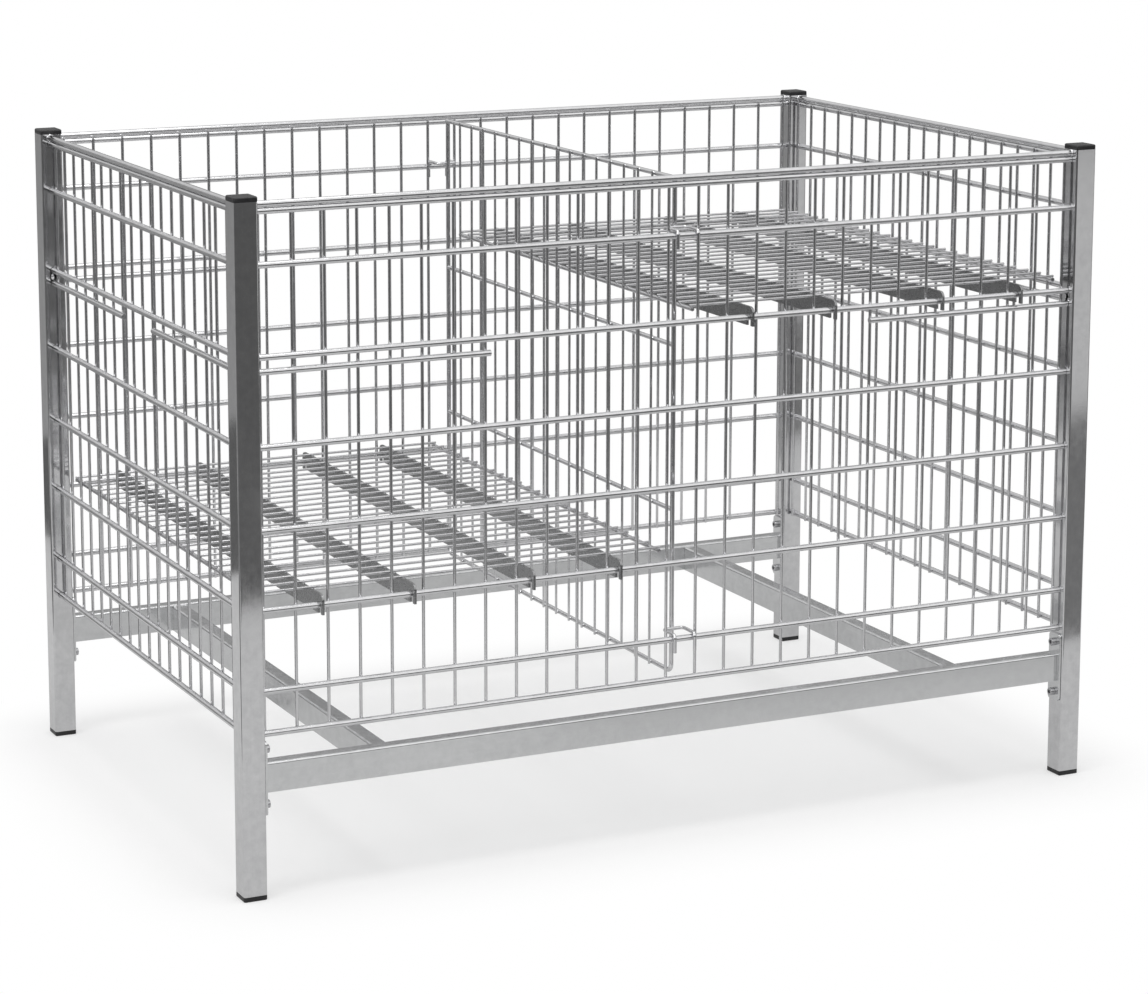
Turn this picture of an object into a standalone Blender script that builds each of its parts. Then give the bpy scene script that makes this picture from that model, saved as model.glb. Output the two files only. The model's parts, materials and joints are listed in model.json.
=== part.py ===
"""Wire display table: square posts, welded wire sides, two shelves and a divider that lift off.

Metres, +Z up. The origin lies on the floor under the table's middle. X runs along the length,
left to right, and Y from the front to the back.
"""

import math

import bmesh
import bpy
from mathutils import Matrix, Vector

# Overall size, over the outer faces of the posts
TABLE_LENGTH = 1.200
TABLE_WIDTH = 0.780

# Clearances: a seat is where one piece rests on or is welded to another
SEAT_GAP = 0.0003
HOLE_CLEARANCE = 0.0004
SLOT_CLEARANCE = 0.0005
WELD_DEPTH = 0.0002

# Square tube posts with plastic feet and caps
POST_SIDE = 0.030
POST_WALL = 0.0015
POST_CORNER = 0.0025
POST_ABOVE_RIM = 0.0047
FOOT_HEIGHT = 0.0060
FOOT_ROUNDING = 0.0010
FOOT_PLUG_DEPTH = 0.018
CAP_HEIGHT = 0.006
CAP_ROUNDING = 0.0022
CAP_PLUG_CLEARANCE = 0.0010

# Sheet rails under the front and back sides, both with their web to the front
RAIL_BOTTOM = 0.131
RAIL_HEIGHT = 0.0375
RAIL_FLANGE = 0.018
RAIL_SHEET = 0.002
RAIL_BEND = 0.003
RAIL_INSET = 0.0085
PLATE_HEIGHT = 0.0925
PLATE_WIDTH = 0.025
PLATE_THICKNESS = 0.003
PLATE_CORNER = 0.005
PLATE_BELOW_RAIL = 0.0275

# Socket screws that hold the rails to the posts, and the nuts welded inside the posts
SCREW_SPACING = 0.069
SCREW_DIAMETER = 0.006
SCREW_LENGTH = 0.012
SCREW_HEAD = 0.0105
SCREW_HEAD_HEIGHT = 0.006
SOCKET_WIDTH = 0.005
SOCKET_DEPTH = 0.003
NUT_WIDTH = 0.011
NUT_HEIGHT = 0.005

# Angle cross-members between the rails
CROSS_FROM_POST = 0.159
CROSS_HEIGHT = 0.0355
CROSS_FLANGE = 0.020
CROSS_SHEET = 0.002
CROSS_BEND = 0.003

# Wire sides: level wires, named by counting up from the lowest, with uprights on their inner side
WIRE_DIAMETER = 0.008
RIM_DIAMETER = 0.008
UPRIGHT_DIAMETER = 0.0040
PANEL_INSET = 0.013
LOWEST_WIRE_ABOVE_RAIL = 0.035
WIRE_STEPS = (0.0522, 0.0993, 0.0973, 0.1012, 0.1085, 0.1100, 0.0640)
LONG_UPRIGHTS = 28
END_UPRIGHTS = 19
FIRST_UPRIGHT_GAP = 0.006
UPRIGHT_OVERHANG = 0.003
WIRE_REACH = 0.0025
HAIRPIN_WIRE = 5
HAIRPIN_LEG = 0.303
HAIRPIN_REACH = 0.0105
HAIRPIN_BAR_CLEARANCE = 0.0025

# Shelves: a wire grid on flat bars that hook over one level wire of the front and back sides
LEFT_SHELF_WIRE = 2
RIGHT_SHELF_WIRE = 5
SHELF_WIRE_DIAMETER = 0.0035
SHELF_WIRES = 25
SHELF_EDGE_INSET = 0.039
SHELF_DIVIDER_CLEARANCE = 0.0195
SHELF_POST_CLEARANCE = 0.005
EDGE_ROD_DIAMETER = 0.0055
EDGE_ROD_INSET = 0.003
EDGE_ROD_OVERHANG = 0.004
BAR_THICKNESS = 0.003
BAR_RISE = 0.01365
BAR_DROP = 0.011
BAR_CORNER = 0.008
BAR_END_INSET = 0.003
BAR_FROM_MIDDLE = 0.080
BAR_FROM_END = 0.0725
BAR_SIDE_CLEARANCE = 0.002

# Divider: a bent rod frame filled with wires, hung from four staple hooks
DIVIDER_ROD = 0.006
DIVIDER_INSET = 0.043
DIVIDER_RISE = 0.001
DIVIDER_TOP_ABOVE_WIRE = 0.068
DIVIDER_CORNER = 0.010
DIVIDER_SPACES = 3
DIVIDER_WIRE_DIAMETER = 0.0033
DIVIDER_WIRE_PITCH = 0.0393
DIVIDER_WIRE_CLEARANCE = 0.025
DIVIDER_WIRE_OVERHANG = 0.0015
UPPER_HOOK_WIRE = 6
LOWER_HOOK_WIRE = 1
HOOK_DIAMETER = 0.0045
HOOK_BEND = 0.005
HOOK_DROP = 0.0164
HOOK_SIDE_CLEARANCE = 0.0025

# Facets
THIN_SIDES = 4
WIRE_SIDES = 6
ROUND_SIDES = 8
ARC_STEPS = 2
POINT_MERGE = 1e-6

# Places worked out from the sizes above
LONG_SPAN = TABLE_LENGTH - 2 * POST_SIDE
END_SPAN = TABLE_WIDTH - 2 * POST_SIDE
FRONT_WIRE_PLANE = TABLE_WIDTH / 2 - PANEL_INSET
END_WIRE_PLANE = TABLE_LENGTH / 2 - PANEL_INSET
RAIL_TOP = RAIL_BOTTOM + RAIL_HEIGHT
WIRE_HEIGHTS = [
    RAIL_TOP + LOWEST_WIRE_ABOVE_RAIL + sum(WIRE_STEPS[:count])
    for count in range(len(WIRE_STEPS) + 1)
]
LOWEST_WIRE = WIRE_HEIGHTS[0]
HIGHEST_WIRE = WIRE_HEIGHTS[-1]
RIM_HEIGHT = HIGHEST_WIRE + (WIRE_DIAMETER + RIM_DIAMETER) / 2 + SEAT_GAP
POST_BOTTOM = FOOT_HEIGHT + SEAT_GAP
POST_TOP = RIM_HEIGHT + POST_ABOVE_RIM
HAIRPIN_DROP = BAR_DROP + HAIRPIN_BAR_CLEARANCE + WIRE_DIAMETER / 2
PLATE_MIDDLE = RAIL_BOTTOM - PLATE_BELOW_RAIL + PLATE_HEIGHT / 2
LONG_PITCH = (LONG_SPAN - 2 * FIRST_UPRIGHT_GAP) / (LONG_UPRIGHTS - 1)

# Turns that stand a flat outline up: its own X and Y become the axes named here
TO_BACK_AND_UP = (math.pi / 2, 0, math.pi / 2)
TO_RIGHT_AND_UP = (math.pi / 2, 0, 0)

# The same kind of turn in whole numbers, which keeps flat faces flat: Z to X, X to Y and Y to Z,
# and a quarter turn about Z
ALONG_X = Matrix(((0, 0, 1, 0), (1, 0, 0, 0), (0, 1, 0, 0), (0, 0, 0, 1)))
QUARTER_TURN = Matrix(((0, -1, 0, 0), (1, 0, 0, 0), (0, 0, 1, 0), (0, 0, 0, 1)))

SIDES = {"left": -1, "right": 1}
FACES = {"front": -1, "back": 1}


def new_collection(name):
    collection = bpy.data.collections.new(name)
    bpy.context.scene.collection.children.link(collection)
    return collection


def new_material(name, colour, metallic, roughness):
    material = bpy.data.materials.new(name)
    material.use_nodes = True
    shader = material.node_tree.nodes["Principled BSDF"]
    shader.inputs["Base Color"].default_value = (*colour, 1.0)
    shader.inputs["Metallic"].default_value = metallic
    shader.inputs["Roughness"].default_value = roughness
    return material


def add_part(name, data, material, location=(0, 0, 0), rotation=(0, 0, 0), parent=None):
    """One named piece of the table."""
    data.materials.clear()
    data.materials.append(material)
    part = bpy.data.objects.new(name, data)
    part.location = location
    part.rotation_euler = rotation
    part.parent = parent
    PARTS.objects.link(part)
    return part


def add_tool(name, data, location=(0, 0, 0), rotation=(0, 0, 0), parent=None):
    """A hidden shape that a Boolean takes away from a piece or joins to it."""
    tool = bpy.data.objects.new(name, data)
    tool.location = location
    tool.rotation_euler = rotation
    tool.parent = parent
    tool.hide_render = True
    tool.display_type = "WIRE"
    TOOLS.objects.link(tool)
    return tool


def add_boolean(part, tool, operation):
    modifier = part.modifiers.new(tool.name, "BOOLEAN")
    modifier.operation = operation
    modifier.object = tool


def add_carrier(name, location):
    """An empty that carries the pieces of one lift-off body."""
    carrier = bpy.data.objects.new(name, None)
    carrier.location = location
    PARTS.objects.link(carrier)
    return carrier


def rounded_path(corners):
    """Points through (place, radius) corners, with an arc in each corner that has a radius."""
    points = []
    for index, (place, radius) in enumerate(corners):
        corner = Vector(place)
        if radius == 0:
            points.append(corner)
            continue
        before = (Vector(corners[index - 1][0]) - corner).normalized()
        after = (Vector(corners[(index + 1) % len(corners)][0]) - corner).normalized()
        half_angle = before.angle(after) / 2
        middle = corner + (before + after).normalized() * radius / math.sin(half_angle)
        first = corner + before * radius / math.tan(half_angle) - middle
        last = corner + after * radius / math.tan(half_angle) - middle
        for step in range(ARC_STEPS + 1):
            point = middle + first.lerp(last, step / ARC_STEPS).normalized() * radius
            if not points or (point - points[-1]).length > POINT_MERGE:
                points.append(point)
    return points


def rectangle(width, height, radius):
    corners = ((width, height), (-width, height), (-width, -height), (width, -height))
    return rounded_path([((x / 2, y / 2), radius) for x, y in corners])


def circle(diameter, sides, centre=(0, 0)):
    turns = [2 * math.pi * (side + 0.5) / sides for side in range(sides)]
    return [
        Vector(centre) + Vector((math.cos(turn), math.sin(turn))) * diameter / 2 for turn in turns
    ]


def angle_section(height, flange, sheet, bend):
    """An angle: an upright web from the origin, and a flange at its top towards +X."""
    return rounded_path(
        [
            ((0, 0), 0),
            ((sheet, 0), 0),
            ((sheet, height - sheet), bend - sheet),
            ((flange, height - sheet), 0),
            ((flange, height), 0),
            ((0, height), bend),
        ]
    )


def outline_curve(name, outlines, thickness):
    """A flat piece of the given thickness; the outlines after the first are its holes."""
    curve = bpy.data.curves.new(name, "CURVE")
    curve.dimensions = "2D"
    curve.fill_mode = "BOTH"
    curve.extrude = thickness / 2
    for points in outlines:
        spline = curve.splines.new("POLY")
        spline.use_cyclic_u = True
        spline.points.add(len(points) - 1)
        for knot, point in zip(spline.points, points):
            knot.co = (point.x, point.y, 0.0, 1.0)
    return curve


def wire_curve(name, wires, sides=WIRE_SIDES):
    """Round wires, each given as its diameter and the points of its axis."""
    curve = bpy.data.curves.new(name, "CURVE")
    curve.dimensions = "3D"
    curve.bevel_depth = 0.5
    curve.bevel_resolution = (sides - 4) // 2
    curve.use_fill_caps = True
    for diameter, points in wires:
        spline = curve.splines.new("POLY")
        spline.points.add(len(points) - 1)
        for knot, place in zip(spline.points, points):
            knot.co = (*place, 1.0)
            knot.radius = diameter
    return curve


def mesh_from(curve):
    """The curve's solid as one mesh, with its caps welded to its sides."""
    carrier = bpy.data.objects.new(curve.name, curve)
    PARTS.objects.link(carrier)
    graph = bpy.context.evaluated_depsgraph_get()
    mesh = bpy.data.meshes.new_from_object(carrier.evaluated_get(graph))
    bpy.data.objects.remove(carrier)
    shape = bmesh.new()
    shape.from_mesh(mesh)
    bmesh.ops.remove_doubles(shape, verts=shape.verts, dist=POINT_MERGE)
    shape.to_mesh(mesh)
    shape.free()
    return mesh


def level_wires(span, plane, growth=0.0):
    """The straight level wires of a side, from inside one post to inside the next.

    The lowest and highest stand in by the seat gap and the weld, so every upright bites into them
    and just clears the others.
    """
    reach = span / 2 + WIRE_REACH
    wires = []
    for index, height in enumerate(WIRE_HEIGHTS):
        if index == HAIRPIN_WIRE:
            continue
        at_edge = height in (LOWEST_WIRE, HIGHEST_WIRE)
        y = -plane + (SEAT_GAP + WELD_DEPTH if at_edge else 0.0)
        wires.append((WIRE_DIAMETER + growth, ((-reach, y, height), (reach, y, height))))
    return wires


def hairpin_wire(span, plane):
    """The wire that turns back inside both posts and returns as a short leg below itself."""
    height = WIRE_HEIGHTS[HAIRPIN_WIRE]
    low = height - HAIRPIN_DROP
    turn = HAIRPIN_DROP / 2
    end = span / 2 + HAIRPIN_REACH - WIRE_DIAMETER / 2
    free = span / 2 - HAIRPIN_LEG
    corners = [
        ((-free, -plane, low), 0),
        ((-end, -plane, low), turn),
        ((-end, -plane, height), turn),
        ((end, -plane, height), turn),
        ((end, -plane, low), turn),
        ((free, -plane, low), 0),
    ]
    return WIRE_DIAMETER, rounded_path(corners)


def uprights(span, plane, count):
    """The thin wires on a side's inner face; the first and last are welded to every level wire."""
    first = -span / 2 + FIRST_UPRIGHT_GAP
    pitch = (span - 2 * FIRST_UPRIGHT_GAP) / (count - 1)
    clear = -plane + (WIRE_DIAMETER + UPRIGHT_DIAMETER) / 2 + SEAT_GAP
    welded = clear - SEAT_GAP - WELD_DEPTH
    bottom = LOWEST_WIRE - UPRIGHT_OVERHANG
    top = HIGHEST_WIRE + UPRIGHT_OVERHANG
    wires = []
    for index in range(count):
        x = first + index * pitch
        y = welded if index in (0, count - 1) else clear
        wires.append((UPRIGHT_DIAMETER, ((x, y, bottom), (x, y, top))))
    return wires


def add_sides():
    """The four wire sides and rim rods."""
    for name, turn, span, plane, count in (
        ("front", 0, LONG_SPAN, FRONT_WIRE_PLANE, LONG_UPRIGHTS),
        ("back", math.pi, LONG_SPAN, FRONT_WIRE_PLANE, LONG_UPRIGHTS),
        ("left", -math.pi / 2, END_SPAN, END_WIRE_PLANE, END_UPRIGHTS),
        ("right", math.pi / 2, END_SPAN, END_WIRE_PLANE, END_UPRIGHTS),
    ):
        rotation = (0, 0, turn)
        level = wire_curve("level_wires", level_wires(span, plane) + [hairpin_wire(span, plane)])
        upright = wire_curve("uprights", uprights(span, plane, count), sides=THIN_SIDES)
        panel = add_part(f"panel_{name}", mesh_from(level), WIRE_ZINC, rotation=rotation)
        tool = add_tool(f"uprights_{name}", mesh_from(upright), rotation=rotation)
        add_boolean(panel, tool, "UNION")

        rim_end = span / 2 - SEAT_GAP
        rim_points = ((-rim_end, -plane, RIM_HEIGHT), (rim_end, -plane, RIM_HEIGHT))
        rim = wire_curve("rim", [(RIM_DIAMETER, rim_points)], sides=ROUND_SIDES)
        add_part(f"rim_rod_{name}", rim, WIRE_ZINC, rotation=rotation)


def wire_hole_meshes(span, plane):
    """Shapes of the round holes and hairpin slots that the front side's wires need in both posts."""
    holes = mesh_from(wire_curve("holes", level_wires(span, plane, growth=2 * HOLE_CLEARANCE)))
    slot_width = WIRE_DIAMETER + 2 * SLOT_CLEARANCE
    slot_outline = rectangle(slot_width, slot_width + HAIRPIN_DROP, slot_width / 2)
    slot = mesh_from(outline_curve("slot", [slot_outline], span + 2 * WIRE_REACH))
    slot_middle = WIRE_HEIGHTS[HAIRPIN_WIRE] - HAIRPIN_DROP / 2
    slot.transform(Matrix.Translation((0, -plane, slot_middle)) @ ALONG_X)
    return holes, slot


def screw_hole_mesh():
    """Straight bores for the rail screws, through the inner walls of the posts at both ends."""
    reach = LONG_SPAN / 2 + WIRE_REACH
    bores = []
    for face in FACES.values():
        y = face * (TABLE_WIDTH - POST_SIDE) / 2
        for height in screw_heights().values():
            ends = ((-reach, y, height), (reach, y, height))
            bores.append((SCREW_DIAMETER + 2 * HOLE_CLEARANCE, ends))
    return mesh_from(wire_curve("bores", bores, sides=ROUND_SIDES))


def add_hole_tool():
    """All the holes of the posts as one shape, side by side round the table."""
    shape = bmesh.new()
    shape.from_mesh(screw_hole_mesh())
    turn = Matrix.Identity(4)
    for span, plane in ((LONG_SPAN, FRONT_WIRE_PLANE), (END_SPAN, END_WIRE_PLANE)) * 2:
        for mesh in wire_hole_meshes(span, plane):
            mesh.transform(turn)
            shape.from_mesh(mesh)
        turn = QUARTER_TURN @ turn
    mesh = bpy.data.meshes.new("post_holes")
    shape.to_mesh(mesh)
    shape.free()
    return add_tool("post_holes", mesh)


def screw_heights():
    return {
        "lower": PLATE_MIDDLE - SCREW_SPACING / 2,
        "upper": PLATE_MIDDLE + SCREW_SPACING / 2,
    }


def round_edges(shape, edges, radius):
    bmesh.ops.bevel(
        shape, geom=edges, offset=radius, segments=ARC_STEPS, profile=0.5, affect="EDGES"
    )


def plug_mesh(name, flange_height, rounding, plug_depth):
    """A square plastic plug: a flange with rounded edges, and a block below it that fills the tube."""
    shape = bmesh.new()
    bmesh.ops.create_cube(shape, size=1.0)
    bmesh.ops.translate(shape, vec=(0, 0, 0.5), verts=shape.verts)
    bmesh.ops.scale(shape, vec=(POST_SIDE, POST_SIDE, flange_height), verts=shape.verts)
    standing = [edge for edge in shape.edges if edge.verts[0].co.z != edge.verts[1].co.z]
    round_edges(shape, standing, POST_CORNER)
    top = max(shape.faces, key=lambda face: face.calc_center_median().z)
    round_edges(shape, list(top.edges), rounding)
    under = min(shape.faces, key=lambda face: face.calc_center_median().z)
    bmesh.ops.inset_individual(shape, faces=[under], thickness=POST_WALL + SEAT_GAP)
    plug = bmesh.ops.extrude_discrete_faces(shape, faces=[under])["faces"][0]
    bmesh.ops.translate(shape, vec=(0, 0, -plug_depth), verts=plug.verts)
    mesh = bpy.data.meshes.new(name)
    shape.to_mesh(mesh)
    shape.free()
    return mesh


def add_posts(hole_tool):
    """The four corner posts, each with its foot and cap."""
    outer = rectangle(POST_SIDE, POST_SIDE, POST_CORNER)
    hollow = POST_SIDE - 2 * POST_WALL
    inner = rectangle(hollow, hollow, POST_CORNER - POST_WALL)
    tube = mesh_from(outline_curve("tube", [outer, inner], POST_TOP - POST_BOTTOM))
    cap_plug_depth = POST_TOP - HIGHEST_WIRE - WIRE_DIAMETER / 2 - CAP_PLUG_CLEARANCE
    cap = plug_mesh("cap", CAP_HEIGHT, CAP_ROUNDING, cap_plug_depth)
    foot = plug_mesh("foot", FOOT_HEIGHT, FOOT_ROUNDING, FOOT_PLUG_DEPTH)
    for face_name, face in FACES.items():
        for side_name, side in SIDES.items():
            corner = f"{face_name}_{side_name}"
            x = side * (TABLE_LENGTH - POST_SIDE) / 2
            y = face * (TABLE_WIDTH - POST_SIDE) / 2
            middle = (POST_BOTTOM + POST_TOP) / 2
            post = add_part(f"post_{corner}", tube.copy(), TUBE_ZINC, (x, y, middle))
            add_boolean(post, hole_tool, "DIFFERENCE")
            add_part(f"top_cap_{corner}", cap, BLACK_PLASTIC, (x, y, POST_TOP + SEAT_GAP))
            add_part(f"foot_{corner}", foot, BLACK_PLASTIC, (x, y, FOOT_HEIGHT), (math.pi, 0, 0))


def screw_mesh():
    """A socket screw along Z, its head standing on the origin and its shank below."""
    shape = bmesh.new()
    profile = (
        (0, SCREW_HEAD_HEIGHT - SOCKET_DEPTH),
        (SOCKET_WIDTH / 2, SCREW_HEAD_HEIGHT - SOCKET_DEPTH),
        (SOCKET_WIDTH / 2, SCREW_HEAD_HEIGHT),
        (SCREW_HEAD / 2, SCREW_HEAD_HEIGHT),
        (SCREW_HEAD / 2, 0),
        (SCREW_DIAMETER / 2, 0),
        (SCREW_DIAMETER / 2, -SCREW_LENGTH),
        (0, -SCREW_LENGTH),
    )
    points = [shape.verts.new((x, 0, z)) for x, z in profile]
    for start, end in zip(points, points[1:]):
        shape.edges.new((start, end))
    mesh = bpy.data.meshes.new("screw")
    shape.to_mesh(mesh)
    shape.free()
    return mesh


def add_turning(part):
    """Turns a half profile about Z into a closed solid."""
    turning = part.modifiers.new("turning", "SCREW")
    turning.steps = ROUND_SIDES
    turning.render_steps = ROUND_SIDES
    turning.use_merge_vertices = True
    turning.merge_threshold = POINT_MERGE
    turning.use_smooth_shade = False


def add_rails():
    """The front and back rails with their end plates, screws and nuts."""
    rail_length = LONG_SPAN - 2 * PLATE_THICKNESS - 4 * SEAT_GAP
    section = angle_section(RAIL_HEIGHT, RAIL_FLANGE, RAIL_SHEET, RAIL_BEND)
    rail = outline_curve("rail", [section], rail_length)
    hole = SCREW_DIAMETER + 2 * HOLE_CLEARANCE
    plate_holes = [
        circle(hole, ROUND_SIDES, (0, height - PLATE_MIDDLE)) for height in screw_heights().values()
    ]
    plate_outline = rectangle(PLATE_WIDTH, PLATE_HEIGHT, PLATE_CORNER)
    plate = outline_curve("plate", [plate_outline, *plate_holes], PLATE_THICKNESS)
    nut_outline = circle(NUT_WIDTH / math.cos(math.pi / 6), 6)
    nut = outline_curve("nut", [nut_outline, circle(hole, ROUND_SIDES)], NUT_HEIGHT)
    screw = screw_mesh()

    post_face = LONG_SPAN / 2
    plate_place = post_face - SEAT_GAP - PLATE_THICKNESS / 2
    head_place = plate_place - PLATE_THICKNESS / 2 - SEAT_GAP
    nut_place = post_face + POST_WALL + SEAT_GAP + NUT_HEIGHT / 2
    for face_name, face in FACES.items():
        y = face * (TABLE_WIDTH - POST_SIDE) / 2
        rail_at = (0, y - POST_SIDE / 2 + RAIL_INSET, RAIL_BOTTOM)
        add_part(f"rail_{face_name}", rail, SHEET_ZINC, rail_at, TO_BACK_AND_UP)
        for side_name, side in SIDES.items():
            corner = f"{face_name}_{side_name}"
            plate_at = (side * plate_place, y, PLATE_MIDDLE)
            add_part(f"rail_plate_{corner}", plate, SHEET_ZINC, plate_at, TO_BACK_AND_UP)
            for level, height in screw_heights().items():
                turned = (0, -side * math.pi / 2, 0)
                screw_at = (side * head_place, y, height)
                nut_at = (side * nut_place, y, height)
                screw_part = add_part(f"rail_screw_{corner}_{level}", screw, STEEL, screw_at, turned)
                add_turning(screw_part)
                add_part(f"weld_nut_{corner}_{level}", nut, STEEL, nut_at, turned)


def add_cross_members():
    """Two angles from the front rail's web, under its flange, to the back rail's web."""
    section = angle_section(CROSS_HEIGHT, CROSS_FLANGE, CROSS_SHEET, CROSS_BEND)
    length = TABLE_WIDTH - POST_SIDE - RAIL_SHEET - 2 * SEAT_GAP
    cross = outline_curve("cross", [section], length)
    middle = RAIL_INSET - POST_SIDE / 2 + RAIL_SHEET / 2
    bottom = RAIL_TOP - RAIL_SHEET - SEAT_GAP - CROSS_HEIGHT
    for side_name, side in SIDES.items():
        x = side * (LONG_SPAN / 2 - CROSS_FROM_POST) - CROSS_FLANGE / 2
        add_part(f"cross_member_{side_name}", cross, SHEET_ZINC, (x, middle, bottom), TO_RIGHT_AND_UP)


def between_uprights(x):
    """The nearest place to x where a shelf bar passes between two uprights of the long sides."""
    first = -LONG_SPAN / 2 + FIRST_UPRIGHT_GAP
    left = first + math.floor((x - first) / LONG_PITCH) * LONG_PITCH
    margin = (UPRIGHT_DIAMETER + BAR_THICKNESS) / 2 + BAR_SIDE_CLEARANCE
    return min(max(x, left + margin), left + LONG_PITCH - margin)


def bar_outline():
    """A flat bar on edge, notched near each end to hook over a level wire."""
    end = TABLE_WIDTH / 2 - BAR_END_INSET
    notch_width = WIRE_DIAMETER + 2 * SLOT_CLEARANCE
    notch_outer = FRONT_WIRE_PLANE + notch_width / 2
    notch_inner = FRONT_WIRE_PLANE - notch_width / 2
    roof = WIRE_DIAMETER / 2 + SEAT_GAP
    right_half = [
        ((notch_inner, -BAR_DROP), 0),
        ((notch_inner, roof), notch_width / 2),
        ((notch_outer, roof), notch_width / 2),
        ((notch_outer, -BAR_DROP), 0),
        ((end, -BAR_DROP), 0),
        ((end, BAR_RISE), BAR_CORNER),
    ]
    left_half = [((-y, z), radius) for (y, z), radius in reversed(right_half)]
    return rounded_path(right_half + left_half)


def add_shelf(side_name, side, wire):
    """One lift-off shelf, in a frame on the level wire that it hangs from."""
    inner_end = SHELF_DIVIDER_CLEARANCE
    outer_end = LONG_SPAN / 2 - SHELF_POST_CLEARANCE
    length = outer_end - inner_end
    middle = side * (inner_end + outer_end) / 2
    carrier = add_carrier(f"lift_off_shelf_{side_name}", (middle, 0, WIRE_HEIGHTS[wire]))

    wire_z = BAR_RISE + SEAT_GAP + SHELF_WIRE_DIAMETER / 2
    rod_z = wire_z - (SHELF_WIRE_DIAMETER + EDGE_ROD_DIAMETER) / 2 + WELD_DEPTH
    half_width = TABLE_WIDTH / 2 - SHELF_EDGE_INSET
    rod_y = half_width + EDGE_ROD_OVERHANG
    rod_x = length / 2 - EDGE_ROD_INSET
    rods = [
        (EDGE_ROD_DIAMETER, ((x, -rod_y, rod_z), (x, rod_y, rod_z))) for x in (-rod_x, rod_x)
    ]
    pitch = 2 * half_width / (SHELF_WIRES - 1)
    wires = []
    for index in range(SHELF_WIRES):
        y = -half_width + index * pitch
        ends = ((-length / 2, y, wire_z), (length / 2, y, wire_z))
        wires.append((SHELF_WIRE_DIAMETER, ends))
    rod_mesh = mesh_from(wire_curve("rods", rods, sides=ROUND_SIDES))
    wire_mesh = mesh_from(wire_curve("wires", wires, sides=THIN_SIDES))
    grid = add_part(f"shelf_grid_{side_name}", rod_mesh, WIRE_ZINC, parent=carrier)
    tool = add_tool(f"shelf_wires_{side_name}", wire_mesh, parent=carrier)
    add_boolean(grid, tool, "UNION")

    bar = outline_curve("bar", [bar_outline()], BAR_THICKNESS)
    outer_bar = length / 2 - BAR_FROM_END
    for number, offset in enumerate((-outer_bar, -BAR_FROM_MIDDLE, BAR_FROM_MIDDLE, outer_bar), 1):
        x = between_uprights(middle + offset) - middle
        bar_name = f"shelf_bar_{side_name}_{number}"
        add_part(bar_name, bar, SHEET_ZINC, (x, 0, 0), TO_BACK_AND_UP, carrier)


def add_divider():
    """The lift-off divider across the table's middle, and the hooks that it hangs from."""
    carrier = add_carrier("lift_off_divider", (0, 0, 0))
    rod_y = TABLE_WIDTH / 2 - DIVIDER_INSET
    bottom = LOWEST_WIRE + DIVIDER_RISE
    top = WIRE_HEIGHTS[UPPER_HOOK_WIRE] + DIVIDER_TOP_ABOVE_WIRE
    corners = [
        ((0, -rod_y, top), 0),
        ((0, -rod_y, bottom), DIVIDER_CORNER),
        ((0, rod_y, bottom), DIVIDER_CORNER),
        ((0, rod_y, top), 0),
    ]
    frame = wire_curve("frame", [(DIVIDER_ROD, rounded_path(corners))])
    grid = add_part("divider_grid", mesh_from(frame), WIRE_ZINC, parent=carrier)

    level = []
    for index in range(1, DIVIDER_SPACES + 1):
        height = bottom + (top - bottom) * index / DIVIDER_SPACES
        at_top = index == DIVIDER_SPACES
        x = -WELD_DEPTH if at_top else SEAT_GAP + WELD_DEPTH
        reach = rod_y + (DIVIDER_ROD / 2 if at_top else 0.0)
        level.append((DIVIDER_ROD, ((x, -reach, height), (x, reach, height))))
    level_tool = add_tool("divider_level_rods", mesh_from(wire_curve("level", level)), parent=carrier)
    add_boolean(grid, level_tool, "UNION")

    x = -(DIVIDER_ROD + DIVIDER_WIRE_DIAMETER) / 2 + WELD_DEPTH
    wires = []
    wire_pairs = math.floor((rod_y - DIVIDER_WIRE_CLEARANCE) / DIVIDER_WIRE_PITCH + 0.5)
    for index in range(2 * wire_pairs):
        y = (index - wire_pairs + 0.5) * DIVIDER_WIRE_PITCH
        ends = ((x, y, bottom - DIVIDER_ROD / 2), (x, y, top + DIVIDER_WIRE_OVERHANG))
        wires.append((DIVIDER_WIRE_DIAMETER, ends))
    wire_mesh = mesh_from(wire_curve("wires", wires, sides=THIN_SIDES))
    wire_tool = add_tool("divider_wires", wire_mesh, parent=carrier)
    add_boolean(grid, wire_tool, "UNION")

    half = LONG_PITCH / 2 - (UPRIGHT_DIAMETER + HOOK_DIAMETER) / 2 - HOOK_SIDE_CLEARANCE
    base = rod_y + (DIVIDER_ROD + HOOK_DIAMETER) / 2 + SEAT_GAP
    prong = FRONT_WIRE_PLANE + (WIRE_DIAMETER + HOOK_DIAMETER) / 2 + SLOT_CLEARANCE
    leg_z = (WIRE_DIAMETER + HOOK_DIAMETER) / 2 + SEAT_GAP
    hook_corners = [
        ((-half, -prong, -HOOK_DROP), 0),
        ((-half, -prong, leg_z), HOOK_BEND),
        ((-half, -base, leg_z), HOOK_BEND),
        ((half, -base, leg_z), HOOK_BEND),
        ((half, -prong, leg_z), HOOK_BEND),
        ((half, -prong, -HOOK_DROP), 0),
    ]
    hook = wire_curve("hook", [(HOOK_DIAMETER, rounded_path(hook_corners))])
    for face_name, face in FACES.items():
        turned = (0, 0, 0 if face_name == "front" else math.pi)
        for level_name, wire in (("upper", UPPER_HOOK_WIRE), ("lower", LOWER_HOOK_WIRE)):
            hook_name = f"divider_hook_{face_name}_{level_name}"
            place = (0, 0, WIRE_HEIGHTS[wire])
            add_part(hook_name, hook, WIRE_ZINC, place, turned, carrier)


for leftover in list(bpy.data.objects):
    bpy.data.objects.remove(leftover)

PARTS = new_collection("display_table")
TOOLS = new_collection("display_table_cutters")

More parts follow.
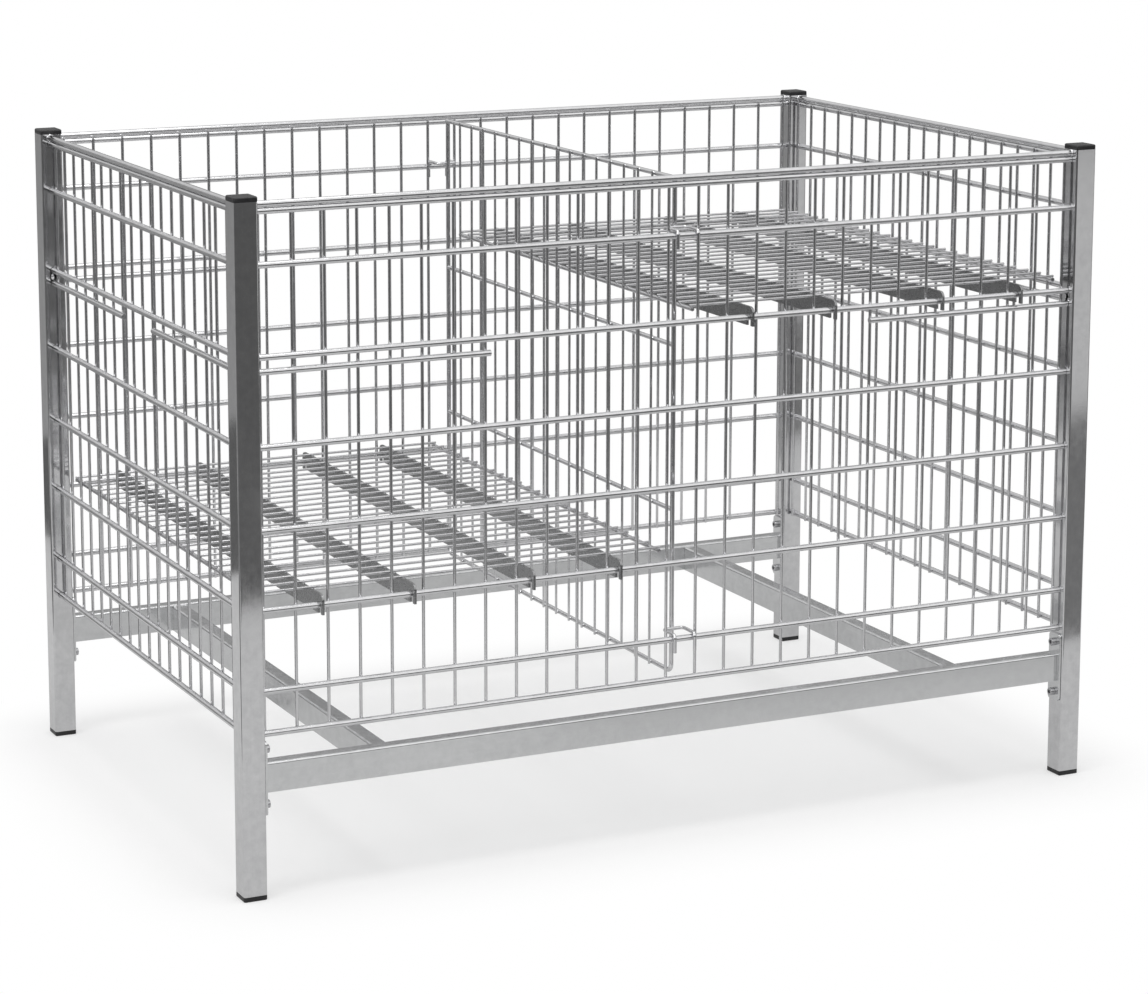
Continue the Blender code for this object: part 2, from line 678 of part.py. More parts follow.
WIRE_ZINC = new_material("wire_zinc", (0.60, 0.60, 0.61), 1.0, 0.22)
TUBE_ZINC = new_material("tube_zinc", (0.55, 0.55, 0.56), 1.0, 0.20)
SHEET_ZINC = new_material("sheet_zinc", (0.58, 0.59, 0.60), 1.0, 0.35)
STEEL = new_material("steel", (0.50, 0.50, 0.51), 1.0, 0.30)
BLACK_PLASTIC = new_material("black_plastic", (0.02, 0.02, 0.02), 0.0, 0.45)

add_sides()
add_posts(add_hole_tool())
add_rails()
add_cross_members()
add_shelf("left", SIDES["left"], LEFT_SHELF_WIRE)
add_shelf("right", SIDES["right"], RIGHT_SHELF_WIRE)
add_divider()
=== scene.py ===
import json
import math

import bpy
from mathutils import Euler, Matrix, Vector

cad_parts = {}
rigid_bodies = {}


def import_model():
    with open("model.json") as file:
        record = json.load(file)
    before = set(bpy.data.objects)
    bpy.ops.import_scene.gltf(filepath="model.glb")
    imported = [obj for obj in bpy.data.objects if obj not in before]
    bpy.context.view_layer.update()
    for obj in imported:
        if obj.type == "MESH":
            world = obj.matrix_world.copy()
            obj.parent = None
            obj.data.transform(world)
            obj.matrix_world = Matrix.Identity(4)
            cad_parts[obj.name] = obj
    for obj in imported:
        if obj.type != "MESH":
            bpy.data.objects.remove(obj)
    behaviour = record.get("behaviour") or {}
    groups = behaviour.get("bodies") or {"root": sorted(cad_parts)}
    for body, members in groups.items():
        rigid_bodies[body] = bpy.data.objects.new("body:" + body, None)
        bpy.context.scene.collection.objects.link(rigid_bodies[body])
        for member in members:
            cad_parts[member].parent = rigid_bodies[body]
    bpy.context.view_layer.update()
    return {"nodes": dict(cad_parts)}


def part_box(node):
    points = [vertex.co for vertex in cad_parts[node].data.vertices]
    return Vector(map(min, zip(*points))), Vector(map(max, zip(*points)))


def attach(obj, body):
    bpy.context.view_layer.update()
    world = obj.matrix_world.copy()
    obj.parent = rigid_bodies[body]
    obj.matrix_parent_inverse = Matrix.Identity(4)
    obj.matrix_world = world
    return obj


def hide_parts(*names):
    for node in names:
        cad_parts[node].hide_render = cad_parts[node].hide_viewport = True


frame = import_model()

# Sizes in metres, as in the part's source. X runs along the length and the front faces -Y.
# A span is the clear way between two posts, and a plane is how far a wire side is from the middle.
LONG_SPAN, END_SPAN = 1.140, 0.720
INNER_X, INNER_Y = -LONG_SPAN / 2, -END_SPAN / 2
FRONT_PLANE, END_PLANE = 0.377, 0.587
SIDES = {"left": -1, "right": 1}

# Pieces that meet stand a seat apart, and places this close count as the same.
# Edges that turn by less than the smooth angles, in degrees, are shaded round.
SEAT, CLOSE = 0.0003, 1e-6
SMOOTH, POST_SMOOTH, SCREW_SMOOTH, RIM_SMOOTH = 40, 35, 30, 60

# Posts, caps and feet
POST_SIDE, POST_WALL, POST_CORNER = 0.030, 0.0015, 0.0025
POST_X, POST_Y, POST_BOTTOM, POST_TOP = -0.585, -0.375, 0.0063, 0.8490
HOLE_START, HOLE_DEPTH = 0.0025, 0.0065
WIRE_HOLE, SCREW_HOLE, HOLE_SIDES = 0.0088, 0.0068, 20
SLOT_WIDTH, SLOT_CORNER, SLOT_STEPS = 0.009, 0.00449, 8
CAP_HEIGHT, CAP_ROUNDING, CAP_PLUG = 0.0060, 0.0022, 0.008
FOOT_HEIGHT, FOOT_ROUNDING, FOOT_PLUG = 0.0060, 0.0012, 0.018

# Wire sides: level wires counted from the lowest, one of them a hairpin, and thin uprights
WIRE, WIRE_REACH = 0.008, 0.0025
WIRE_HEIGHTS = (0.2035, 0.2557, 0.3550, 0.4523, 0.5535, 0.6620, 0.7720, 0.8360)
HAIRPIN = 5
HAIRPIN_DROP, HAIRPIN_LEG, HAIRPIN_REACH, HAIRPIN_SLACK = 0.0175, 0.303, 0.0105, 1e-5
UPRIGHT, FIRST_UPRIGHT, UPRIGHT_OVERHANG = 0.0040, 0.006, 0.003
LONG_UPRIGHTS, END_UPRIGHTS = 28, 19
WELD, SIDE_SPOT = 0.0003, (0.0050, 0.0022, 0.0046)
ROUND_SIDES, THIN_SIDES, HOOK_SIDES, RIM_SIDES = 16, 10, 14, 20
WIRE_END_ROUNDING, HOOK_END_ROUNDING = 0.0005, 0.0006

# Rim rods, with a weld collar at each end
RIM, RIM_HEIGHT, RIM_END_GAP = 0.008, 0.8443, 0.0002
COLLAR, COLLAR_BAND, COLLAR_TAPER, COLLAR_NARROWING = 0.0102, 0.0007, 0.0013, 0.8

# Rails, cross-members, end plates and screws
SHEET, SHEET_BEND, SHEET_EDGE = 0.002, 0.003, 0.0004
RAIL_BOTTOM, RAIL_HEIGHT, RAIL_FLANGE, RAIL_END_GAP = 0.131, 0.0375, 0.018, 0.0033
RAIL_WEBS = {"front": -0.3815, "back": 0.3685}
CROSS_LENGTH, CROSS_HEIGHT, CROSS_FLANGE = 0.7474, 0.0355, 0.020
CROSS_X, CROSS_WEB_BACK, CROSS_Y, CROSS_TOP = 0.411, 0.010, -0.0055, 0.1662
PLATE_WIDTH, PLATE_HEIGHT, PLATE_THICKNESS, PLATE_CORNER = 0.025, 0.0925, 0.003, 0.005
PLATE_MIDDLE, PLATE_HOLE_ENDS = 0.14975, (-0.003, 0.007)
SCREW_HEIGHTS = {"lower": 0.11525, "upper": 0.18425}
SCREW, SHANK_ENDS = 0.006, (0.0036, -0.0084)
HEAD, HEAD_SEAT, HEAD_HEIGHT, HEAD_ROUNDING, HEAD_SIDES = 0.0105, 0.0035, 0.006, 0.0008, 32
SOCKET_CORNERS, SOCKET_START, SOCKET_CUT = 0.00577, 0.0065, 0.004

# Shelves: heights are above the level wire that a shelf hooks over
SHELF_LEVELS = {"left": 2, "right": 5}
SHELF_MIDDLE, SHELF_HALF = 0.29225, 0.27275
SHELF_WIRE, SHELF_WIRES, SHELF_FIRST, SHELF_WIRE_RISE = 0.0035, 25, 0.351, 0.0157
EDGE_ROD, EDGE_ROD_X, EDGE_ROD_END, EDGE_ROD_RISE = 0.0055, 0.26975, 0.355, 0.0114
SHELF_SPOT, SHELF_SPOT_DROP = (0.0046, 0.0050, 0.0020), 0.00165
BARS = 4
BAR_THICKNESS, BAR_LENGTH, BAR_DROP, BAR_RISE, BAR_CORNER = 0.003, 0.774, 0.011, 0.01365, 0.008
NOTCH_HEIGHT, NOTCH_DROP, NOTCH_START, NOTCH_CUT = 0.040, 0.0157, 0.004, 0.008

# Divider and its hooks
DIVIDER_ROD, DIVIDER_ROD_Y, DIVIDER_BEND = 0.006, 0.347, 0.010
DIVIDER_BOTTOM, DIVIDER_TOP, DIVIDER_SPACES = 0.2045, 0.840, 3
DIVIDER_WIRE, DIVIDER_WIRES, DIVIDER_PITCH = 0.0033, 16, 0.0393
DIVIDER_WIRE_X, DIVIDER_OVERHANG = -0.00445, 0.003
DIVIDER_SPOT, DIVIDER_SPOT_X = (0.0022, 0.0050, 0.0046), -0.0028
HOOK_LEVELS = {"upper": 6, "lower": 1}
HOOK, HOOK_HALF, HOOK_BASE, HOOK_PRONG = 0.0045, 0.01414, 0.3523, 0.38375
HOOK_RISE, HOOK_DROP, HOOK_BEND = 0.00655, 0.0164, 0.005


# Modelling helpers

def nothing_selected():
    bpy.ops.object.select_all(action="DESELECT")


def open_piece(name):
    """A new piece at the origin, open in edit mode."""
    nothing_selected()
    bpy.ops.object.add(type="MESH", enter_editmode=True, location=(0, 0, 0))
    piece = bpy.context.object
    piece.name = piece.data.name = name
    bpy.ops.mesh.select_mode(type="FACE")
    return piece


def face_outwards():
    bpy.ops.mesh.select_all(action="SELECT")
    bpy.ops.mesh.normals_make_consistent(inside=False)
    bpy.ops.object.mode_set(mode="OBJECT")


def shade_smooth(angle):
    bpy.ops.object.shade_smooth_by_angle(angle=math.radians(angle))


def close_piece(smooth=SMOOTH):
    """Leaves edit mode with the faces turned outwards."""
    face_outwards()
    shade_smooth(smooth)


def chosen(kind, test):
    """Selects the faces or edges of the open piece that pass a test, and no others."""
    piece = bpy.context.object
    bpy.ops.mesh.select_mode(type=kind)
    bpy.ops.mesh.select_all(action="DESELECT")
    bpy.ops.object.mode_set(mode="OBJECT")
    mesh = piece.data
    for item in mesh.polygons if kind == "FACE" else mesh.edges:
        item.select = test(mesh, item)
    bpy.ops.object.mode_set(mode="EDIT")


def edges_at_height(height):
    """Selects the level edges of the open piece at one height."""
    chosen("EDGE", lambda mesh, edge: all(
        abs(mesh.vertices[v].co.z - height) < CLOSE for v in edge.vertices))


def draw_out(by):
    bpy.ops.mesh.extrude_region_move(TRANSFORM_OT_translate={"value": by})


def round_face(diameter, place, along, sides):
    turn = Vector(along).to_track_quat("Z", "Y").to_euler()
    bpy.ops.mesh.primitive_circle_add(
        vertices=sides, radius=diameter / 2, fill_type="NGON", location=place, rotation=turn
    )


def bent_wire(diameter, corners, sides=ROUND_SIDES, bend_steps=8):
    """A round wire through (place, bend radius) corners, drawn straight and spun round the bends."""
    places = [Vector(place) for place, radius in corners]
    ways = [(b - a).normalized() for a, b in zip(places, places[1:])]
    round_face(diameter, places[0], ways[0], sides)
    here = places[0]
    for index in range(1, len(places) - 1):
        before, after, radius = ways[index - 1], ways[index], corners[index][1]
        angle = before.angle(after)
        setback = radius * math.tan(angle / 2)
        bend_start = places[index] - before * setback
        if (bend_start - here).length > CLOSE:
            draw_out(bend_start - here)
        axis = before.cross(after).normalized()
        centre = bend_start + axis.cross(before) * radius
        bpy.ops.mesh.spin(steps=bend_steps, angle=-angle, center=centre, axis=axis)
        here = places[index] + after * setback
    draw_out(places[-1] - here)


def straight_wire(diameter, start, end, sides=ROUND_SIDES):
    bent_wire(diameter, [(start, 0), (end, 0)], sides)


def repeat(count, step):
    """Copies the selected wire, each copy one step further on."""
    bpy.ops.mesh.select_linked()
    for _ in range(count):
        bpy.ops.mesh.duplicate_move(TRANSFORM_OT_translate={"value": step})


def ease_wire_ends(size):
    """Rounds the rims of all wire ends."""
    chosen("FACE", lambda mesh, face: len(face.vertices) > 4)
    bpy.ops.mesh.bevel(offset=size, offset_type="OFFSET", segments=2, affect="EDGES")


def weld_spots(size, place, count, step):
    """A row of small flattened beads of weld metal."""
    bpy.ops.mesh.primitive_ico_sphere_add(subdivisions=1, radius=0.5, location=place)
    bpy.ops.transform.resize(value=size, center_override=place)
    for _ in range(count - 1):
        bpy.ops.mesh.duplicate_move(TRANSFORM_OT_translate={"value": step})


def rounded_plate(size, corner, place, facing, segments=6):
    """A flat face with rounded corners: level, or upright and facing along X or Y."""
    if facing[2]:
        turn, stretch = (0, 0, 0), (size[0], size[1], 1)
    elif facing[0]:
        turn, stretch = (0, math.pi / 2, 0), (1, size[0], size[1])
    else:
        turn, stretch = (math.pi / 2, 0, 0), (size[0], 1, size[1])
    bpy.ops.mesh.primitive_plane_add(size=1, location=place, rotation=turn)
    bpy.ops.transform.resize(value=stretch, center_override=place)
    bpy.ops.mesh.bevel(offset=corner, offset_type="OFFSET", segments=segments, affect="VERTICES")
    bpy.ops.mesh.select_linked()


def copied(piece, name, turn=0.0, move=(0, 0, 0), flipped=False):
    """A copy with its own mesh, mirrored left to right if asked, turned and moved."""
    nothing_selected()
    piece.select_set(True)
    bpy.context.view_layer.objects.active = piece
    bpy.ops.object.duplicate(linked=False)
    copy = bpy.context.object
    copy.name = copy.data.name = name
    copy.rotation_euler.z = turn
    copy.location = move
    copy.scale.x = -1 if flipped else 1
    bpy.ops.object.transform_apply(location=True, rotation=True, scale=True)
    if flipped:
        bpy.ops.object.mode_set(mode="EDIT")
        face_outwards()
    return copy


def apply_modifiers(piece):
    nothing_selected()
    piece.select_set(True)
    bpy.context.view_layer.objects.active = piece
    for modifier in list(piece.modifiers):
        bpy.ops.object.modifier_apply(modifier=modifier.name)


def cut_away(piece, tool):
    """Takes the tool's shape out of the piece and throws the tool away."""
    cut = piece.modifiers.new("cut", "BOOLEAN")
    cut.operation, cut.solver, cut.object = "DIFFERENCE", "EXACT", tool
    apply_modifiers(piece)
    bpy.data.objects.remove(tool)


def ease_edges(piece, width):
    """A small round on every sharp edge."""
    bevel = piece.modifiers.new("eased_edges", "BEVEL")
    bevel.width, bevel.segments, bevel.limit_method = width, 2, "ANGLE"
    bevel.angle_limit = math.radians(50)
    apply_modifiers(piece)
    shade_smooth(SMOOTH)


def fit(piece, body, finish, node):
    """Puts a finished piece on its body in the place of its node."""
    even = piece.modifiers.new("even_shading", "WEIGHTED_NORMAL")
    even.mode, even.weight, even.keep_sharp = "FACE_AREA", 50, True
    apply_modifiers(piece)
    piece.data.materials.clear()
    piece.data.materials.append(finish)
    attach(piece, body)
    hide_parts(node)


# The front left corner is made once; the others are its copies, turned or mirrored
CORNERS = {
    "front_right": (0.0, True),
    "back_right": (math.pi, False),
    "back_left": (math.pi, True),
}


def at_every_corner(piece, label, body, finish, node):
    """Fits the front left piece and a copy of it at each other corner."""
    fit(piece, body, finish, node.format("front_left"))
    for corner, (turn, flipped) in CORNERS.items():
        other = copied(piece, label.format(corner), turn, flipped=flipped)
        fit(other, body, finish, node.format(corner))


# Finishes

class Socket:
    """A shader socket that can be used in sums."""

    def __init__(self, finish, socket):
        self.finish, self.socket = finish, socket

    def maths(self, operation, first, second):
        return self.finish.node("Math", {"operation": operation}, {0: first, 1: second})

    def __add__(self, other):
        return self.maths("ADD", self, other)

    def __radd__(self, other):
        return self.maths("ADD", other, self)

    def __sub__(self, other):
        return self.maths("SUBTRACT", self, other)

    def __rsub__(self, other):
        return self.maths("SUBTRACT", other, self)

    def __mul__(self, other):
        return self.maths("MULTIPLY", self, other)

    def __rmul__(self, other):
        return self.maths("MULTIPLY", other, self)


class Finish:
    """A material built from nodes round one shader."""

    def __init__(self, name):
        self.material = bpy.data.materials.new(name)
        self.material.use_nodes = True
        self.tree = self.material.node_tree
        self.shader = self.tree.nodes["Principled BSDF"]

    def feed(self, socket, value):
        if isinstance(value, Socket):
            self.tree.links.new(value.socket, socket)
        else:
            socket.default_value = value

    def node(self, kind, settings=None, sockets=None, output=0):
        node = self.tree.nodes.new("ShaderNode" + kind)
        for name, value in (settings or {}).items():
            setattr(node, name, value)
        for key, value in (sockets or {}).items():
            self.feed(node.inputs[key], value)
        return Socket(self, node.outputs[output])

    def place(self, stretch=(1, 1, 1)):
        """Places on the piece, stretched so that a pattern runs along it."""
        object_place = self.node("TexCoord", output=3)
        return self.node("Mapping", sockets={"Vector": object_place, "Scale": stretch})

    def noise(self, scale, detail, low, high, stretch=(1, 1, 1), roughness=0.5):
        """Noise, with its values from low to high spread over 0 to 1."""
        sockets = {"Vector": self.place(stretch), "Scale": scale, "Detail": detail, "Roughness": roughness}
        raw = self.node("TexNoise", sockets=sockets)
        return self.node("MapRange", {"clamp": True}, {0: raw, 1: low, 2: high})

    def rise(self, value, start, end):
        """Goes smoothly from 0 at the start to 1 at the end."""
        return self.node("MapRange", {"interpolation_type": "SMOOTHSTEP"}, {0: value, 1: start, 2: end})

    def axis(self, vector, index):
        """One of a vector's three numbers."""
        return self.node("SeparateXYZ", sockets={0: vector}, output=index)

    def vector(self, operation, first, second=(0, 0, 0), output=0):
        return self.node("VectorMath", {"operation": operation}, {0: first, 1: second}, output)

    def rays(self):
        """Whether a ray comes from the camera, from a glossy surface or through a clear one."""
        return [self.node("LightPath", output=index) for index in (0, 3, 6)]

    def mix(self, factor, first, second):
        sockets = {0: factor, 6: (*first, 1), 7: (*second, 1)}
        return self.node("Mix", {"data_type": "RGBA"}, sockets, output=2)

    def bump(self, height, strength, distance):
        sockets = {"Height": height, "Strength": strength, "Distance": distance}
        return self.node("Bump", sockets=sockets)

    def shade(self, **sockets):
        for name, value in sockets.items():
            self.feed(self.shader.inputs[name.replace("_", " ")], value)
        return self.material


def zinc(name, dark, pale, smooth, rough, stretch):
    """Bright zinc plate: mottled and cloudy, with fine lines along the drawn or rolled metal."""
    finish = Finish(name)
    cloud = finish.noise(9.0, 3.0, 0.32, 0.68)
    mottle = finish.noise(85.0, 4.0, 0.33, 0.67, roughness=0.6)
    lines = finish.noise(520.0, 2.0, 0.3, 0.7, stretch)
    grains = finish.noise(900.0, 2.0, 0.3, 0.7)
    tone = cloud * 0.25 + mottle * 0.45 + lines * 0.12 + grains * 0.18
    gloss = cloud * 0.2 + mottle * 0.4 + lines * 0.2 + grains * 0.2
    relief = mottle * 0.5 + lines * 0.2 + grains * 0.3
    return finish.shade(
        Base_Color=finish.mix(tone, dark, pale),
        Metallic=1.0,
        Roughness=gloss * (rough - smooth) + smooth,
        Normal=finish.bump(relief, strength=0.02, distance=0.0004),
    )


def moulded_plastic(name):
    """Black plastic with a fine moulded grain and a little dust."""
    finish = Finish(name)
    grain = finish.noise(1400.0, 2.0, 0.3, 0.7)
    dust = finish.noise(60.0, 4.0, 0.45, 0.75)
    return finish.shade(
        Base_Color=finish.mix(dust, (0.008, 0.008, 0.009), (0.022, 0.022, 0.023)),
        Roughness=grain * 0.14 + dust * 0.1 + 0.3,
        Normal=finish.bump(grain, strength=0.12, distance=0.0003),
    )


NO_LINES, ALONG_X, ALONG_Y, ALONG_Z = (1, 1, 1), (0.03, 1, 1), (1, 0.03, 1), (1, 1, 0.02)
WIRE_ZINC = zinc("wire_zinc", (0.62, 0.62, 0.63), (0.78, 0.78, 0.79), 0.10, 0.20, NO_LINES)
TUBE_ZINC = zinc("tube_zinc", (0.60, 0.60, 0.61), (0.78, 0.78, 0.785), 0.05, 0.13, ALONG_Z)
SHEET_ZINC = zinc("sheet_zinc", (0.62, 0.625, 0.63), (0.78, 0.785, 0.79), 0.13, 0.24, ALONG_X)
CROSS_ZINC = zinc("cross_zinc", (0.58, 0.585, 0.59), (0.74, 0.745, 0.75), 0.13, 0.24, ALONG_Y)
SHELF_ZINC = zinc("shelf_zinc", (0.50, 0.50, 0.51), (0.66, 0.66, 0.67), 0.12, 0.24, NO_LINES)
# Painted shade: the shelf bars get a much darker copy of the zinc, standing in for the shade they sit in
# under the shelf wires
SHADED_BAR_ZINC = zinc("bar_zinc_painted_shade", (0.27, 0.272, 0.275), (0.39, 0.392, 0.395), 0.20, 0.34, ALONG_Y)
STEEL = zinc("screw_steel", (0.40, 0.40, 0.41), (0.60, 0.60, 0.61), 0.16, 0.3, NO_LINES)
PLASTIC = moulded_plastic("black_plastic")


# Wire sides

def wire_side(name, span, plane, count):
    """Level wires, the hairpin wire, the uprights and their weld spots, as the front side."""
    piece = open_piece(name)
    reach = span / 2 + WIRE_REACH
    for index, height in enumerate(WIRE_HEIGHTS):
        if index != HAIRPIN:
            straight_wire(WIRE, (-reach, -plane, height), (reach, -plane, height))
    high = WIRE_HEIGHTS[HAIRPIN]
    low = high - HAIRPIN_DROP
    bend = HAIRPIN_DROP / 2 - HAIRPIN_SLACK
    end = span / 2 + HAIRPIN_REACH - WIRE / 2
    free = span / 2 - HAIRPIN_LEG
    bent_wire(WIRE, [
        ((-free, -plane, low), 0),
        ((-end, -plane, low), bend),
        ((-end, -plane, high), bend),
        ((end, -plane, high), bend),
        ((end, -plane, low), bend),
        ((free, -plane, low), 0),
    ])

    first = -span / 2 + FIRST_UPRIGHT
    pitch = (span - 2 * FIRST_UPRIGHT) / (count - 1)
    upright_y = -plane + (WIRE + UPRIGHT) / 2 - WELD
    bottom, top = WIRE_HEIGHTS[0] - UPRIGHT_OVERHANG, WIRE_HEIGHTS[-1] + UPRIGHT_OVERHANG
    straight_wire(UPRIGHT, (first, upright_y, bottom), (first, upright_y, top), THIN_SIDES)
    repeat(count - 1, (pitch, 0, 0))
    ease_wire_ends(WIRE_END_ROUNDING)
    for height in WIRE_HEIGHTS:
        weld_spots(SIDE_SPOT, (first, -plane + WIRE / 2 - WELD, height), count, (pitch, 0, 0))
    close_piece()
    return piece


front_side = wire_side("front_wire_side", LONG_SPAN, FRONT_PLANE, LONG_UPRIGHTS)
end_side = wire_side("end_wire_side", END_SPAN, END_PLANE, END_UPRIGHTS)
left_side = copied(end_side, "left_wire_side", -math.pi / 2)
bpy.data.objects.remove(end_side)
for side, node, twin, twin_node in (
    (front_side, "panel_front", "back_wire_side", "panel_back"),
    (left_side, "panel_left", "right_wire_side", "panel_right"),
):
    other = copied(side, twin, math.pi)
    fit(side, "frame", WIRE_ZINC, node)
    fit(other, "frame", WIRE_ZINC, twin_node)


def rim_rod(name, span, plane):
    """A rod along the top, with a weld collar where it meets each post."""
    piece = open_piece(name)
    reach = span / 2 - RIM_END_GAP
    straight_wire(RIM, (-reach, -plane, RIM_HEIGHT), (reach, -plane, RIM_HEIGHT), RIM_SIDES)
    for side in SIDES.values():
        round_face(COLLAR, (side * reach, -plane, RIM_HEIGHT), (-side, 0, 0), RIM_SIDES)
        draw_out((-side * COLLAR_BAND, 0, 0))
        draw_out((-side * COLLAR_TAPER, 0, 0))
        centre = (side * (reach - COLLAR_BAND - COLLAR_TAPER), -plane, RIM_HEIGHT)
        narrowing = (1, COLLAR_NARROWING, COLLAR_NARROWING)
        bpy.ops.transform.resize(value=narrowing, center_override=centre)
    close_piece(RIM_SMOOTH)
    return piece


front_rim = rim_rod("front_rim_rod", LONG_SPAN, FRONT_PLANE)
end_rim = rim_rod("end_rim_rod", END_SPAN, END_PLANE)
left_rim = copied(end_rim, "left_rim_rod", -math.pi / 2)
bpy.data.objects.remove(end_rim)
back_rim = copied(front_rim, "back_rim_rod", math.pi)
right_rim = copied(left_rim, "right_rim_rod", math.pi)
for rim, side in ((front_rim, "front"), (back_rim, "back"), (left_rim, "left"), (right_rim, "right")):
    fit(rim, "frame", WIRE_ZINC, f"rim_rod_{side}")


# Posts with caps and feet

def post_holes():
    """The round holes and hairpin slots of the front left post, and its screw holes."""
    tool = open_piece("post_holes")
    across = ((1, 0, 0), INNER_X - HOLE_START, -FRONT_PLANE)
    along = ((0, 1, 0), -END_PLANE, INNER_Y - HOLE_START)
    slot = (SLOT_WIDTH, SLOT_WIDTH + HAIRPIN_DROP)
    for facing, x, y in (across, along):
        for index, height in enumerate(WIRE_HEIGHTS):
            if index == HAIRPIN:
                rounded_plate(slot, SLOT_CORNER, (x, y, height - HAIRPIN_DROP / 2), facing, SLOT_STEPS)
            else:
                round_face(WIRE_HOLE, (x, y, height), facing, HOLE_SIDES)
            draw_out(Vector(facing) * HOLE_DEPTH)
    for height in SCREW_HEIGHTS.values():
        round_face(SCREW_HOLE, (INNER_X - HOLE_START, POST_Y, height), (1, 0, 0), ROUND_SIDES)
        draw_out((HOLE_DEPTH, 0, 0))
    close_piece()
    return tool


def post():
    """The front left post: a square tube with holes for the wire ends."""
    piece = open_piece("front_left_post")
    rounded_plate((POST_SIDE, POST_SIDE), POST_CORNER, (POST_X, POST_Y, POST_BOTTOM), (0, 0, 1))
    bpy.ops.mesh.inset(thickness=POST_WALL)
    bpy.ops.mesh.delete(type="FACE")
    bpy.ops.mesh.select_all(action="SELECT")
    draw_out((0, 0, POST_TOP - POST_BOTTOM))
    close_piece()
    cut_away(piece, post_holes())
    shade_smooth(POST_SMOOTH)
    return piece


def tube_plug(name, seat, up, height, rounding, plug_depth):
    """A square plastic plug with a rounded flange and a block inside the tube."""
    piece = open_piece(name)
    rounded_plate((POST_SIDE, POST_SIDE), POST_CORNER, (POST_X, POST_Y, seat), (0, 0, 1))
    draw_out((0, 0, up * height))
    edges_at_height(seat + up * height)
    bpy.ops.mesh.bevel(offset=rounding, segments=4, affect="EDGES")
    chosen("FACE", lambda mesh, face: abs(face.center.z - seat) < CLOSE)
    bpy.ops.mesh.inset(thickness=POST_WALL + SEAT)
    draw_out((0, 0, -up * plug_depth))
    close_piece()
    return piece


at_every_corner(post(), "{}_post", "frame", TUBE_ZINC, "post_{}")
cap = tube_plug("front_left_cap", POST_TOP + SEAT, 1, CAP_HEIGHT, CAP_ROUNDING, CAP_PLUG)
at_every_corner(cap, "{}_cap", "frame", PLASTIC, "top_cap_{}")
foot = tube_plug("front_left_foot", FOOT_HEIGHT, -1, FOOT_HEIGHT, FOOT_ROUNDING, FOOT_PLUG)
at_every_corner(foot, "{}_foot", "frame", PLASTIC, "foot_{}")


# Rails, cross-members, end plates and screws

def bent_angle(name, length, height, flange):
    """A sheet angle along X: its web faces -Y on the origin, its flange runs back from the top."""
    piece = open_piece(name)
    web = height - SHEET_BEND
    middle = (0, 0, -height + web / 2)
    bpy.ops.mesh.primitive_plane_add(size=1, location=middle, rotation=(math.pi / 2, 0, 0))
    bpy.ops.transform.resize(value=(length, 1, web), center_override=middle)
    edges_at_height(-SHEET_BEND)
    bend_centre = (0, SHEET_BEND, -SHEET_BEND)
    bpy.ops.mesh.spin(steps=6, angle=-math.pi / 2, center=bend_centre, axis=(-1, 0, 0))
    draw_out((0, flange - SHEET_BEND, 0))
    close_piece()
    upward = max(piece.data.polygons, key=lambda face: face.center.y).normal.z > 0
    wall = piece.modifiers.new("sheet", "SOLIDIFY")
    wall.thickness, wall.offset, wall.use_even_offset = SHEET, -1.0 if upward else 1.0, True
    apply_modifiers(piece)
    ease_edges(piece, SHEET_EDGE)
    return piece


def end_plate():
    """The front left end plate, with its two screw holes."""
    piece = open_piece("front_left_end_plate")
    place = (INNER_X + SEAT, POST_Y, PLATE_MIDDLE)
    rounded_plate((PLATE_WIDTH, PLATE_HEIGHT), PLATE_CORNER, place, (1, 0, 0))
    draw_out((PLATE_THICKNESS, 0, 0))
    close_piece()
    holes = open_piece("plate_holes")
    for height in SCREW_HEIGHTS.values():
        start, end = ((INNER_X + x, POST_Y, height) for x in PLATE_HOLE_ENDS)
        straight_wire(SCREW_HOLE, start, end)
    close_piece()
    cut_away(piece, holes)
    ease_edges(piece, SHEET_EDGE)
    return piece


def socket_screw(name, height):
    """A socket head screw at the front left corner, its head towards the table's middle."""
    piece = open_piece(name)
    round_face(HEAD, (INNER_X + HEAD_SEAT, POST_Y, height), (1, 0, 0), HEAD_SIDES)
    draw_out((HEAD_HEIGHT, 0, 0))
    chosen("FACE", lambda mesh, face: face.normal.x > 0.9)
    bpy.ops.mesh.bevel(offset=HEAD_ROUNDING, segments=3, affect="EDGES")
    start, end = ((INNER_X + x, POST_Y, height) for x in SHANK_ENDS)
    straight_wire(SCREW, start, end)
    close_piece(SCREW_SMOOTH)
    socket = open_piece("hex_socket")
    round_face(SOCKET_CORNERS, (INNER_X + SOCKET_START, POST_Y, height), (1, 0, 0), 6)
    draw_out((SOCKET_CUT, 0, 0))
    close_piece()
    cut_away(piece, socket)
    shade_smooth(SCREW_SMOOTH)
    return piece


rail = bent_angle("front_rail", LONG_SPAN - 2 * RAIL_END_GAP, RAIL_HEIGHT, RAIL_FLANGE)
for face, web in RAIL_WEBS.items():
    placed = copied(rail, f"{face}_angle_rail", move=(0, web, RAIL_BOTTOM + RAIL_HEIGHT))
    fit(placed, "frame", SHEET_ZINC, f"rail_{face}")
cross = bent_angle("cross_angle", CROSS_LENGTH, CROSS_HEIGHT, CROSS_FLANGE)
for side, sign in SIDES.items():
    place = (sign * CROSS_X - CROSS_WEB_BACK, CROSS_Y, CROSS_TOP)
    placed = copied(cross, f"{side}_cross_member", -math.pi / 2, place)
    fit(placed, "frame", CROSS_ZINC, f"cross_member_{side}")
for spare in (rail, cross):
    bpy.data.objects.remove(spare)
at_every_corner(end_plate(), "{}_end_plate", "frame", SHEET_ZINC, "rail_plate_{}")
for level, height in SCREW_HEIGHTS.items():
    screw = socket_screw(f"front_left_{level}_screw", height)
    label, node = "{}_" + level + "_screw", "rail_screw_{}_" + level
    at_every_corner(screw, label, "frame", STEEL, node)


# Shelves

